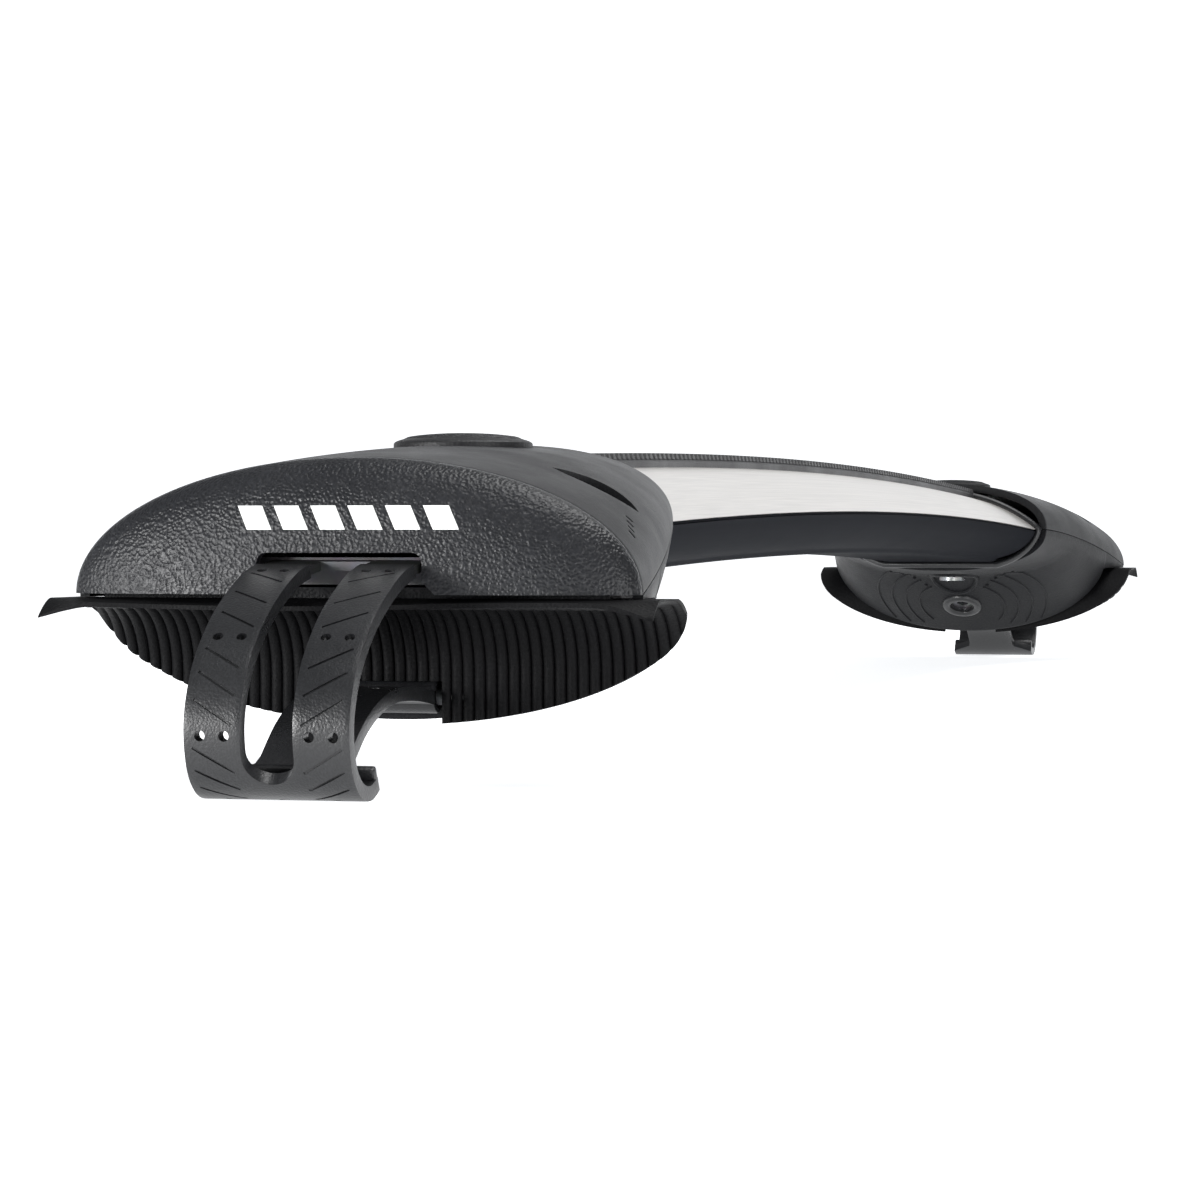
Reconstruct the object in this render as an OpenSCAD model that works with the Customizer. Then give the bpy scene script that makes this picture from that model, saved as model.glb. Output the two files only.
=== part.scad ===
// Roof cross bar for raised rails: an arched wing-section bar on two clamping feet.
// Every foot piece is drawn at the right end, from the ridge of its end cover: x runs outwards,
// z is measured from the cover's lower edge. The left foot is the mirror of the right one.

/* [Bar] */
// Distance between the outer ridges of the two feet
spread = 916; // [820:2:1100]
// Radius of the bar's long arch
arch_r = 11580; // [9000:10:16000]
// Half width of the bar at its crease
bar_hw = 41.5; // [34:0.5:41.5]
// Height of the crown above the crease
crown_h = 15; // [12:0.5:15]
// Depth of the bar below the crease
belly_h = 14; // [11:0.5:14]
// Half width of the bar's flat underside
belly_hw = 22; // [16:0.5:24]
// Wall of the bar
bar_wall = 2.2; // [1.6:0.1:3]
// Width of the mouth of the top slot
slot_mouth = 11; // [8:0.5:12]
// Width of the top slot inside
slot_inner = 20; // [16:0.5:24]
// Depth of the top slot below the crown
slot_depth = 9; // [7:0.5:10]
// Thickness of the lips beside the top slot
slot_lip = 2.4; // [2:0.1:3]

/* [Rubber strip] */
// Half width of the strip
strip_hw = 14.8; // [12:0.2:16]
// Height of the strip's top above the crease
strip_h = 17.4; // [16.4:0.1:17.4]

/* [Foot] */
// Length of the foot from its collar to its ridge
foot_len = 113.5; // [104:0.5:130]
// Width of the foot at its ridge
ridge_w = 132; // [124:1:150]
// Height of the foot at its ridge
ridge_h = 30.5; // [28:0.5:33]
// Width of the collar
collar_w = 91.3; // [91:0.1:100]
// Height of the collar's top
collar_top = 35.9; // [35.5:0.1:40]
// Height of the bar's crease at the collar
crease_z = 16.1; // [15:0.1:16.2]
// Wall of the foot's shells
shell_t = 3; // [2.4:0.1:3.6]
// Depth of the inner skirt below the cover's edge
skirt_h = 29.5; // [26:0.5:34]
// Slope of the skirt's inner face
skirt_slope = 30; // [26:1:33]
// Distance from the ridge in to the rail pad's back face
wall_u = 30.5; // [28:0.5:34]
// How far the end cover bulges past the ridge
cover_out = 12; // [9:0.5:15]
// Gap between the end cover and its neighbours
cover_gap = 0.6; // [0.4:0.1:1]

/* [Rail pad] */
// Thickness of the pad
pad_t = 2.5; // [2:0.1:3.5]
// Radius of the pad's inner corner
pad_r = 15; // [10:1:18]
// How far the pad's ends stand past the foot
pad_over = 5; // [3:0.5:6]

/* [Strap] */
// Width of the strap
strap_w = 36.4; // [32:0.2:37.6]
// Thickness of the strap
strap_t = 3.2; // [2.6:0.1:3.6]
// Gap between the strap's two arms
arm_gap = 11.6; // [9:0.2:13]
// Width of the strap's inner tongue
tongue_w = 20; // [16:0.5:21]
// Diameter of the small holes in the strap
strap_hole = 2.3; // [1.6:0.1:2.8]
// Diameter of the pin that the strap turns on
pin_d = 4; // [3:0.5:4.5]

/* [Clamp] */
// Diameter of the clamp screw
screw_d = 6; // [5:0.5:6]
// Pitch of the clamp screw
screw_pitch = 1.5; // [1:0.25:2]
// Diameter of the screw's head
head_d = 10; // [9:0.5:11]
// Hexagon key size across flats
key_af = 5; // [4:0.5:5.5]
// Radial clearance of a running fit
run_fit = 0.05; // [0.03:0.01:0.08]

/* [Hidden] */

gap = 0.15;                                // clearance between pieces that only sit together

// points of a smooth curve through p, with n to each stretch
function knot(p, i) = p[max(0, min(len(p) - 1, i))];
function curve(p, n) = concat([for (i = [0 : len(p) - 2]) for (j = [0 : n - 1]) let (k = j / n,
    a = knot(p, i - 1), b = p[i], c = p[i + 1], e = knot(p, i + 2))
  0.5 * (2 * b + (c - a) * k + (2 * a - 5 * b + 4 * c - e) * k * k
    + (3 * b - 3 * c + e - a) * k * k * k)], [p[len(p) - 1]]);
function unit(v) = v / norm(v);
function outward(p, i) = let (t = unit(knot(p, i + 1) - knot(p, i - 1))) [-t[1], t[0]];

// the strap's outer face, from the hooks in the cover round to the pin in the skirt: x and z
strap_route = [[13.6, 6.8], [23, 4.6], [35, -0.4], [45, -6.4], [54, -15], [58.6, -26], [56.4, -36.5],
  [49, -42.2], [39, -41.2], [22, -30], [5, -24.6], [-12, -24.2], [-30, -26]];
strap_line = curve(strap_route, 4);
strap_back = [for (i = [0 : len(strap_line) - 1]) strap_line[i] - strap_t * outward(strap_line, i)];
pin_at = [-31, -24];                       // the strap's pin
eye_r = pin_d / 2 + 1.9;                   // the eye round the pin
notch_z = -19.6;                           // top of the notch that the tongue enters
arm_mid = (strap_w + arm_gap) / 4;         // middle of each arm
hole_rows = [3, 13, 21];                   // points of the line where each arm has two holes
hole_low = 29;                             // and where the strap has three
hole_pitch = 5.3;
slot_low = -33.2;                          // middle of the round end of the slot between the arms

stand_h = -min([for (p = strap_line) p[1]]); // height of the covers' edges above the ground
bar_end_u = 66;                            // the bar stops this far in from the ridge
bar_x = spread / 2 - bar_end_u;            // half length of the bar
arc_z = stand_h + crease_z - sqrt(arch_r * arch_r - pow(spread / 2 - foot_len, 2));
crown_r = (bar_hw * bar_hw + crown_h * crown_h) / (2 * crown_h);
strip_in = 26;                             // the strip runs this far into the foot
gasket_t = 1.2;                            // thickness of the collar gasket
hollow_u = 84;                             // the foot is hollow from here to the ridge
roof_z = -1;                               // underside of the foot over the rail
window_w = strap_w + 2 * 0.9;              // the strap's window in the end cover
window_h = 9.2;
ring_n = 14;                               // points on half a ring of the foot
ring_s = [0, 0.1, 0.2, 0.3, 0.42, 0.54, 0.64, 1 - (wall_u + shell_t) / foot_len, 0.8, 0.9, 1];
screw_u = 54;                              // where the clamp screw leaves the skirt
screw_z = -skirt_h + tan(skirt_slope) * (screw_u - wall_u - shell_t);
lock_u = 37;                               // the lock's place along the foot
lock_y = 46;
lock_tilt = 26;                            // the lock leans outwards from upright
lock_d = 10;
sleeve_d = 13;
lock_len = 12;
lock_sunk = 3.4;                           // the lock's face lies this far below the shell
boss_d = 9;                                // posts that join the two shells
boss_u = [54, 14];
boss_y = [46, 40];
post_top = [22, 17];                       // their bores end here
post_bore = 3;
post_head_z = 1.5;                         // where the screws' heads seat
dome_u = 84;
dome_d = 34;
dome_h = 2.4;
dome_sunk = 2.2;                           // the dome's seat lies this far below the collar's top
saddle_bolt_u = [72, 84];
saddle_head_d = 10.5;
saddle_hw = 14;
saddle_t = 2;
spotface_z = -3.6;
badge_n = 6;
badge_pitch = 8.6;
badge_z = 16.8;

// ---- shared forms ----

function mix(a, b, k) = a + (b - a) * k;
function skirt_foot_u() = wall_u + shell_t;
// the foot's outline at a station: half width, parting height, top, bottom
function foot_hw(s) = mix(collar_w / 2, ridge_w / 2, (s + sin(90 * s)) / 2);
function part_z(s) = crease_z * (1 - pow(s, 1.4));
function top_z(s) = collar_top - (collar_top - ridge_h) * pow(s, 1.6);
function bottom_z(u) = -max(1.6 + max(0, foot_len - u) / 12,
  skirt_h - tan(skirt_slope) * max(0, u - skirt_foot_u()));
function sgn_pow(v, e) = sign(v) * pow(abs(v), e);

// one closed ring across the foot, shrunk by d all round
function foot_ring(s, d) = let (u = foot_len * (1 - s), w = foot_hw(s) - d, p = part_z(s),
    up = top_z(s) - d - p, low = p - bottom_z(u) - d, e = mix(0.87, 1, s))
  [for (i = [0 : 2 * ring_n - 1]) let (a = 180 * i / ring_n, h = a <= 180 ? up : low)
    [-u + (s == 0 && d > 0 ? -1 : 0) + (s == 1 && d > 0 ? 1 : 0),
     w * sgn_pow(cos(a), e), p + h * sgn_pow(sin(a), e)]];

// a solid skinned over rings that all have the same number of points
module skin(rings) {
  n = len(rings[0]);
  m = len(rings);
  sides = [for (j = [0 : m - 2]) for (i = [0 : n - 1]) let (k = (i + 1) % n)
    each [[j * n + i, (j + 1) * n + k, j * n + k], [j * n + i, (j + 1) * n + i, (j + 1) * n + k]]];
  polyhedron(points = [for (r = rings) each r],
    faces = concat([[for (i = [0 : n - 1]) i]], sides, [[for (i = [0 : n - 1]) m * n - 1 - i]]));
}

module foot_body(d) skin([for (s = ring_s) foot_ring(s, d)]);

// a profile drawn in x and z, drawn out across the foot to half width w
module across(w) rotate([90, 0, 0]) linear_extrude(height = 2 * w, center = true) children();

// from the foot's own place to the right end of the bar
module at_foot() translate([spread / 2, 0, stand_h]) children();
module left() mirror([1, 0, 0]) children();

// the bar's outline, grown by g: y across, z above the crease
function crown_z(y, g) = sqrt(pow(crown_r + g, 2) - y * y) - crown_r + crown_h;
function crown_pts(g, y0, y1, n) = [for (i = [0 : n]) let (y = mix(y0, y1, i / n)) [y, crown_z(y, g)]];
function flank_pts(g, k) = [[k * (bar_hw + g), 0], [k * (bar_hw - 2.6 + g), -3.6],
  [k * (bar_hw - 8 + g), -belly_h * 0.58 - g], [k * (belly_hw + 4.4 + g), -belly_h * 0.86 - g],
  [k * (belly_hw + g / 2), -belly_h - g]];
function back(p) = [for (i = [len(p) - 1 : -1 : 0]) p[i]];
function lower_pts(g) = concat(flank_pts(g, -1), back(flank_pts(g, 1)));
function bar_outline(g) = concat(crown_pts(g, bar_hw - 0.5, 0.5 - bar_hw, 12), lower_pts(g));
function strip_outline(g) = [[strip_hw + g, crown_h - 4], [strip_hw + g, strip_h - 1],
  [strip_hw - 2, strip_h + g], [2 - strip_hw, strip_h + g], [-strip_hw - g, strip_h - 1],
  [-strip_hw - g, crown_h - 4]];

// carries a section along the arch between two stations, in n equal stretches
module sweep(pts, x0, x1, n) skin([for (i = [0 : n]) let (a = asin(mix(x0, x1, i / n) / arch_r))
  [for (p = pts) [(arch_r + p[1]) * sin(a), p[0], arc_z + (arch_r + p[1]) * cos(a)]]]);

// everything that the bar and its strip fill, grown by g, between two stations
module bar_space(g, x0, x1) {
  sweep(bar_outline(g), x0, x1, 3);
  sweep(strip_outline(min(g, gap)), x0, x1, 3);
}

// ---- bar ----

slot_z = crown_z(slot_mouth / 2, 0);
// the outline with the top slot let in
function slotted_outline() = concat(crown_pts(0, bar_hw - 0.5, slot_mouth / 2, 7),
  [for (k = [1, -1]) each let (m = k * slot_mouth / 2, w = k * slot_inner / 2, lip = slot_z - slot_lip,
    q = [[m, lip], [w, lip], [w, slot_z - slot_depth]]) k == 1 ? q : back(q)],
  crown_pts(0, -slot_mouth / 2, 0.5 - bar_hw, 7), lower_pts(0));
// one hollow beside the slot and one under it
side_x = slot_inner / 2 + bar_wall;
side_hollow = [[bar_hw - 6, 1.2], [bar_hw * 0.66, crown_h * 0.5 - 1], [side_x, crown_h - bar_wall - 1.2],
  [side_x, -belly_h + bar_wall], [belly_hw + 3, -belly_h * 0.86 + bar_wall],
  [bar_hw - 10.4, -belly_h * 0.58 + 1.6], [bar_hw - 6, -0.6]];
far_hollow = back([for (p = side_hollow) [-p[0], p[1]]]);
function box_pts(hw, z0, z1) = [[hw, z0], [hw, z1], [-hw, z1], [-hw, z0]];

// the extrusion, held to its true width
module bar_metal() resize([0, 2 * bar_hw, 0]) difference() {
  sweep(slotted_outline(), -bar_x, bar_x, 14);
  sweep(side_hollow, -bar_x - 1, bar_x + 1, 14);
  sweep(far_hollow, -bar_x - 1, bar_x + 1, 14);
  sweep(box_pts(slot_inner / 2, -belly_h + bar_wall, slot_z - slot_depth - bar_wall), -bar_x - 1, bar_x + 1, 14);
}

module crossbar() color("#a9a8a6") difference() {
  bar_metal();
  for (k = [-1, 1]) for (u = saddle_bolt_u) translate([k * (spread / 2 - u), 0, stand_h - 6])
    cylinder(d = screw_d + 0.6, h = 11, $fn = 32);
}

// strip whose underside follows the crown
module infill_strip() color("#1c1d1f") let (end = spread / 2 - foot_len + strip_in)
  sweep(concat([[strip_hw, strip_h - 1], [strip_hw - 2, strip_h], [2 - strip_hw, strip_h],
    [-strip_hw, strip_h - 1]], crown_pts(gap, -strip_hw, strip_hw, 8)), -end, end, 14);

// ---- foot castings ----

module above_parting(up) across(100) polygon(concat(
  [for (i = [0 : 24]) let (s = i / 20 - 0.1) [-foot_len * (1 - s), part_z(max(s, 0)) + up]],
  [[20, 70], [-foot_len * 1.1, 70]]));
module below_parting(up) across(100) polygon(concat(
  [for (i = [0 : 24]) let (s = i / 20 - 0.1) [-foot_len * (1 - s), part_z(max(s, 0)) + up]],
  [[20, -70], [-foot_len * 1.1, -70]]));

// the rail's seat, moved by d into the foot's body: x and z
function seat_pts(d, x_end) = let (r = pad_r + pad_t + d, cx = pad_r + pad_t - wall_u,
    cz = roof_z - pad_t - pad_r)
  concat([[-wall_u - d, -60]], [for (i = [0 : 8]) let (a = 180 - 90 * i / 8)
    [cx + r * cos(a), cz + r * sin(a)]], [[x_end, roof_z + d]]);
module seat_space(d) across(100) polygon(concat(seat_pts(d, 60), [[60, -60]]));

module hollow() difference() {
  intersection() {
    foot_body(shell_t);
    translate([-hollow_u, -100, -60]) cube([hollow_u + 10, 200, 140]);
  }
  seat_space(shell_t);
}

// a frame whose z runs out of the skirt along the clamp screw
module on_screw() translate([-screw_u, 0, screw_z]) rotate([0, 180 + skirt_slope, 0]) children();
// a frame whose z runs out of the shell along the lock, k = -1 at the front, 1 at the back
function lock_s() = 1 - lock_u / foot_len;
function lock_z() = part_z(lock_s()) + (top_z(lock_s()) - part_z(lock_s()))
  * sqrt(1 - pow(lock_y / foot_hw(lock_s()), 2));
module on_lock(k) translate([-lock_u, k * lock_y, lock_z()]) rotate([-k * lock_tilt, 0, 0]) children();

module eye(h) intersection() {
  translate([-10, 0, -h]) cylinder(r = 16.5, h = h + 8, $fn = 64);
  translate([10, 0, -h]) cylinder(r = 16.5, h = h + 8, $fn = 64);
}

module posts(d, z0, z1) for (i = [0, 1]) for (k = [-1, 1])
  translate([-boss_u[i], k * boss_y[i], z0[i]]) cylinder(d = d, h = z1[i] - z0[i], $fn = 32);
function post_split() = [for (u = boss_u) part_z(1 - u / foot_len)];

module base_raw() difference() {
  union() {
    difference() {
      intersection() { foot_body(0); below_parting(-gap / 2); }
      hollow();
      seat_space(0);
    }
    // floor that carries the pad's outer lip, under the end cover
    difference() {
      translate([0, 0, roof_z]) linear_extrude(height = shell_t) polygon([for (i = [0 : 24])
        let (a = -90 + 180 * i / 24) [-3 + (cover_out - 1) * cos(a), (ridge_w / 2 - shell_t - 3) * sin(a)]]);
      translate([-50, -100, -gap / 2]) cube([50 + gap, 200, 10]);
    }
    // boss inside the skirt for the screw's bush
    intersection() {
      on_screw() translate([0, 0, -8]) cylinder(d = head_d + 7, h = 7, $fn = 48);
      foot_body(0.5);
    }
    intersection() {
      posts(boss_d, [-16, roof_z], post_split() + [3, 3]);
      foot_body(0.5);
      below_parting(-gap / 2);
    }
  }
  on_screw() translate([0, 0, -20]) cylinder(d = head_d + 4 + 2 * gap, h = 30, $fn = 48);
  // notch for the strap's tongue, open at the bottom, with its pin's bore
  translate([-wall_u - 6.2, -tongue_w / 2 - 1.6, -60]) cube([12, tongue_w + 3.2, 60 + notch_z]);
  translate([pin_at[0], 0, pin_at[1]]) rotate([90, 0, 0])
    cylinder(d = pin_d + 2 * gap, h = tongue_w + 14, center = true, $fn = 32);
  // way out for the strap's arms and hooks
  translate([3, -window_w / 2, roof_z - 1]) cube([20, window_w, 12]);
  // heads and shanks of the two bolts that hold the bar
  for (u = saddle_bolt_u) translate([-u, 0, spotface_z - 30])
    cylinder(d = saddle_head_d + 1.4, h = 30, $fn = 32);
  saddle_holes(screw_d + 0.6);
  posts(post_bore, [-30, -30], post_split() + [1, 1]);
  posts(6, [-30, -30], [post_head_z, post_head_z]);
}

module foot_base() color("#1f2023") difference() {
  at_foot() base_raw();
  saddle_block(gap);
  bar_space(gasket_t + gap, spread / 2 - foot_len - 6, bar_x + 4);
}

module shell_raw() difference() {
  union() {
    difference() {
      intersection() { foot_body(0); above_parting(gap / 2); }
      hollow();
    }
    intersection() {
      posts(boss_d, post_split() - [3, 3], [30, 26]);
      foot_body(0.5);
      above_parting(gap / 2);
    }
  }
  posts(post_bore, post_split() - [1, 1], post_top);
  // lens-shaped recesses over the lock and its blank
  for (k = [-1, 1]) on_lock(k) eye(16);
  // grip slots
  for (k = [-1, 1]) for (i = [0 : 3]) translate([-24 + 2.6 * i, k * (foot_hw(0.85) - 1), part_z(0.8) + 5 + i])
    rotate([k * 20, 0, 0]) cube([1.1, 4, 9 - i], center = true);
}
module top_shell() color("#2c2d30") difference() {
  at_foot() shell_raw();
  bar_space(gasket_t + gap, spread / 2 - foot_len - 6, bar_x + 4);
  at_foot() translate([-dome_u, 0, collar_top - dome_sunk]) cylinder(d = dome_d + 2 * gap, h = 9, $fn = 48);
}

// ---- end cover ----

// one open half ring of the cover, closed along its foot
function cover_ring(x, d) = let (b = cover_out - d, q = max(0.12, pow(1 - pow(max(0, min(1, x / b)), 2.5), 0.4)))
  concat([for (i = [0 : 2 * ring_n]) let (a = 90 * i / ring_n)
    [x, (ridge_w / 2 - d) * q * cos(a), (ridge_h - d) * q * sin(a)]],
    [[x, -(ridge_w / 2 - d) * q, -2], [x, (ridge_w / 2 - d) * q, -2]]);
module cover_body(d) skin([for (k = [0, 0.15, 0.32, 0.5, 0.66, 0.8, 0.9, 0.96, 0.999])
  cover_ring(k == 0 && d > 0 ? -1 : k * (cover_out - d), d)]);

module end_cover() color("#232427") difference() {
  at_foot() intersection() {
    cover_body(0);
    translate([cover_gap, -100, 0]) cube([100, 200, 60]);
  }
  at_foot() cover_body(shell_t - 0.4);
  // window for the strap, flared at its foot
  at_foot() translate([shell_t, 0, 0]) rotate([90, 0, 90]) linear_extrude(height = 30)
    polygon([[-window_w / 2 - 4, -1], [window_w / 2 + 4, -1], [window_w / 2, 3], [window_w / 2, window_h],
      [-window_w / 2, window_h], [-window_w / 2, 3]]);
}

function cover_x(y, z) = cover_out * pow(max(0, 1 - pow(pow(y / (ridge_w / 2), 2)
  + pow(z / ridge_h, 2), 1.25)), 0.4);

// plain slanted bars on the cover's face
module cover_badge() color("white") difference() {
  at_foot() for (i = [0 : badge_n - 1]) let (y = (i - (badge_n - 1) / 2) * badge_pitch)
    translate([cover_x(abs(y) + 3, badge_z + 2.4) - 0.4, 0, 0]) rotate([90, 0, 90]) linear_extrude(height = 1.6)
      polygon([[y - 3.2, badge_z - 2.4], [y + 0.8, badge_z - 2.4], [y + 3.2, badge_z + 2.4],
        [y - 0.8, badge_z + 2.4]]);
  at_foot() cover_body(0);
}

// ---- rail pad and strap ----

module rail_pad() color("#17181a") at_foot() difference() {
  intersection() {
    across(ridge_w / 2 + pad_over) polygon(concat(seat_pts(0, cover_out - 4),
      [[cover_out + 0.8, roof_z - 1.2], [cover_out + 0.8, roof_z - 0.6 - pad_t]],
      back(seat_pts(-pad_t, cover_out - 4))));
    // the pad's lower edge hangs in a long arc
    rotate([90, 0, 90]) linear_extrude(height = 120, center = true) polygon(concat(
      [for (i = [0 : 32]) let (a = 180 + 180 * i / 32)
        [(ridge_w / 2 + pad_over) * cos(a), roof_z + (skirt_h + 1 + roof_z) * sin(a)]],
      [[ridge_w / 2 + pad_over, 10], [-ridge_w / 2 - pad_over, 10]]));
  }
  translate([-wall_u - 1, -tongue_w / 2 - 1.6, -60]) cube([8, tongue_w + 3.2, 60 + notch_z]);
  translate([pin_at[0], 0, pin_at[1]]) rotate([90, 0, 0])
    cylinder(d = pin_d + 2 * gap, h = tongue_w + 14, center = true, $fn = 32);
}

// a drill that stands on the strap's face at point i of its line, at y
module drill(i, y, d) let (n = outward(strap_line, i), p = strap_line[i])
  translate([p[0], y, p[1]]) rotate([0, atan2(n[0], n[1]), 0])
    cylinder(d = d, h = 4 * strap_t, center = true, $fn = 16);

module strap() color("#26282b") at_foot() difference() {
  union() {
    intersection() {
      across(strap_w / 2) polygon(concat(strap_line, [for (i = [len(strap_back) - 1 : -1 : 0]) strap_back[i]]));
      union() {
        translate([37, -50, -60]) cube([60, 100, 100]);
        translate([13.5, -50, -12]) cube([60, 100, 60]);
        translate([-60, -tongue_w / 2, -60]) cube([120, tongue_w, 100]);
      }
    }
    translate([pin_at[0], 0, pin_at[1]]) rotate([90, 0, 0])
      cylinder(r = eye_r, h = tongue_w, center = true, $fn = 48);
  }
  translate([pin_at[0], 0, pin_at[1]]) rotate([90, 0, 0])
    cylinder(d = pin_d + 2 * run_fit, h = 60, center = true, $fn = 48);
  translate([10, -arm_gap / 2, -12]) cube([60, arm_gap, 60]);
  translate([40, -arm_gap / 2, slot_low]) cube([40, arm_gap, 60]);
  translate([40, 0, slot_low]) rotate([0, 90, 0]) cylinder(d = arm_gap, h = 40, $fn = 48);
  for (i = hole_rows) for (k = [-1, 1]) for (m = [-1, 1])
    drill(i, k * arm_mid + m * hole_pitch / 2, strap_hole);
  for (y = [-12, 0, 12]) drill(hole_low, y, strap_hole);
  for (i = [0 : 3]) for (k = i % 2 == 0 ? [-1, 1] : [0]) drill(37 + 2 * i, 5 * k, strap_hole);
}
// ---- small pieces of each foot ----

// steel plate with two fingers that the strap's arms clip over
module strap_hooks() color("#7d7f82") at_foot() difference() {
  across(window_w / 2 - 1) polygon([[3.4, roof_z + shell_t + gap], [4.8, roof_z + shell_t + gap],
    [4.8, 5.4], [13, 4.4], [13, 6.4], [3.4, 7.6]]);
  translate([6.4, -arm_gap / 2, 0]) cube([20, arm_gap, 12]);
}

// square steel bar across the foot that backs the hook plate
module hook_bar() color("#6c6e70") at_foot()
  translate([-1.6, -window_w / 2 - 8, roof_z + shell_t + gap]) cube([4.8, window_w + 16, 6]);

module strap_pin() color("silver") at_foot() translate([pin_at[0], 0, pin_at[1]])
  rotate([90, 0, 0]) cylinder(d = pin_d, h = tongue_w + 13, center = true, $fn = 48);

module clamp_screw() color("#8c8e91") at_foot() on_screw() difference() {
  union() {
    translate([0, 0, -1.5 - screw_d]) cylinder(d = head_d, h = screw_d, $fn = 48);
    translate([0, 0, -31]) cylinder(d = screw_d, h = 31 - 1.5 - screw_d / 2, $fn = 48);
  }
  translate([0, 0, -5]) cylinder(d = key_af / cos(30), h = 10, $fn = 6);
}

module screw_bush() color("#2b2c2f") at_foot() on_screw() difference() {
  union() {
    translate([0, 0, -9.4]) cylinder(d = head_d + 4, h = 9.4, $fn = 48);
    cylinder(d1 = head_d + 7.6, d2 = head_d + 5, h = 1.4, $fn = 48);
  }
  translate([0, 0, -1.5 - screw_d]) cylinder(d = head_d + 2 * run_fit, h = 20, $fn = 48);
  translate([0, 0, -20]) cylinder(d = screw_d + 2 * run_fit, h = 40, $fn = 48);
}

// block that the clamp screw draws along itself
module tension_block() color("#77797c") at_foot() on_screw() difference() {
  translate([-6, -11, -24]) cube([12, 22, 7]);
  translate([0, 0, -30]) cylinder(d = screw_d + 2 * run_fit, h = 20, $fn = 48);
}

module lock_housing() color("#3a3b3e") at_foot() on_lock(-1) difference() {
  translate([0, 0, -lock_sunk - lock_len]) cylinder(d = sleeve_d, h = lock_len + 0.6, $fn = 48);
  translate([0, 0, -40]) cylinder(d = lock_d + 2 * run_fit, h = 60, $fn = 48);
}

module lock_barrel() color("#c9cacc") at_foot() on_lock(-1) difference() {
  translate([0, 0, -lock_sunk - lock_len]) cylinder(d = lock_d, h = lock_len, $fn = 48);
  translate([-0.6, -3.2, -lock_sunk - 4]) cube([1.2, 6.4, 10]);
}

module lock_cam() color("#8c8e91") at_foot() on_lock(-1) translate([0, 0, -lock_sunk - lock_len - 2]) {
  cylinder(d = 7, h = 2, $fn = 32);
  translate([-2.5, 0, 0]) cube([5, 8, 1.6]);
}

module blank_plug() color("#b4b6b8") at_foot() on_lock(1)
  translate([0, 0, -lock_sunk - 5]) cylinder(d = sleeve_d, h = 5.6, $fn = 48);

module dome_cap() color("#26272a") at_foot() translate([-dome_u, 0, collar_top - dome_sunk + gap]) {
  cylinder(d = dome_d, h = 1.8, $fn = 48);
  translate([0, 0, 1.7]) skin([for (k = [0 : 4]) let (r = (dome_d / 2 - 0.5) * cos(17 * k))
    [for (i = [0 : 31]) let (a = 360 * i / 32) [r * cos(a), r * sin(a), dome_h * sin(18 * k)]]]);
}

module collar_gasket() color("#141517") difference() {
  sweep(bar_outline(gasket_t), spread / 2 - foot_len - 1.4, spread / 2 - foot_len + 6, 1);
  bar_space(gap, spread / 2 - foot_len - 5, spread / 2 - foot_len + 8);
}

module bar_end_plug() color("#202124") sweep(bar_outline(-0.4), bar_x + gap, bar_x + 3, 1);

// aluminium seat under the end of the bar
module saddle_block(g) sweep(box_pts(saddle_hw + g, -belly_h - saddle_t - g, -belly_h - gap),
  spread / 2 - saddle_bolt_u[1] - 7 - g, bar_x - 1 + g, 1);
module bar_saddle() color("#8d8f92") difference() {
  saddle_block(0);
  at_foot() saddle_holes(screw_d + 0.6);
}
module saddle_holes(d) for (u = saddle_bolt_u) translate([-u, 0, -20]) cylinder(d = d, h = 40, $fn = 32);

// two button-head bolts through the saddle into the bar
module saddle_bolts() color("#9a9c9f") at_foot() for (u = saddle_bolt_u) translate([-u, 0, 0]) {
  translate([0, 0, spotface_z - 2.6]) cylinder(d = saddle_head_d, h = 2.6, $fn = 32);
  translate([0, 0, spotface_z - 0.1]) cylinder(d = screw_d, h = 12, $fn = 32);
}

module shell_screws() color("#55575a") at_foot() for (i = [0, 1]) for (k = [-1, 1])
  translate([-boss_u[i], k * boss_y[i], 0]) {
    translate([0, 0, post_head_z - 1.8]) cylinder(d = 5.4, h = 1.8, $fn = 32);
    translate([0, 0, post_head_z - 0.1]) cylinder(d = post_bore - 0.1, h = post_top[i] - 1 - post_head_z, $fn = 32);
  }

crossbar();
infill_strip();
foot_base();  // right_foot_base
left() foot_base();  // left_foot_base
top_shell();  // right_top_shell
left() top_shell();  // left_top_shell
end_cover();  // right_end_cover
left() end_cover();  // left_end_cover
cover_badge();  // right_cover_badge
left() cover_badge();  // left_cover_badge
rail_pad();  // right_rail_pad
left() rail_pad();  // left_rail_pad
strap();  // right_strap
left() strap();  // left_strap
strap_hooks();  // right_strap_hooks
left() strap_hooks();  // left_strap_hooks
hook_bar();  // right_hook_bar
left() hook_bar();  // left_hook_bar
strap_pin();  // right_strap_pin
left() strap_pin();  // left_strap_pin
clamp_screw();  // right_clamp_screw
left() clamp_screw();  // left_clamp_screw
screw_bush();  // right_screw_bush
left() screw_bush();  // left_screw_bush
tension_block();  // right_tension_block
left() tension_block();  // left_tension_block
lock_housing();  // right_lock_housing
left() lock_housing();  // left_lock_housing
lock_barrel();  // right_lock_barrel
left() lock_barrel();  // left_lock_barrel
lock_cam();  // right_lock_cam
left() lock_cam();  // left_lock_cam
blank_plug();  // right_blank_plug
left() blank_plug();  // left_blank_plug
dome_cap();  // right_dome_cap
left() dome_cap();  // left_dome_cap
collar_gasket();  // right_collar_gasket
left() collar_gasket();  // left_collar_gasket
bar_end_plug();  // right_bar_end_plug
left() bar_end_plug();  // left_bar_end_plug
bar_saddle();  // right_bar_saddle
left() bar_saddle();  // left_bar_saddle
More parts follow.
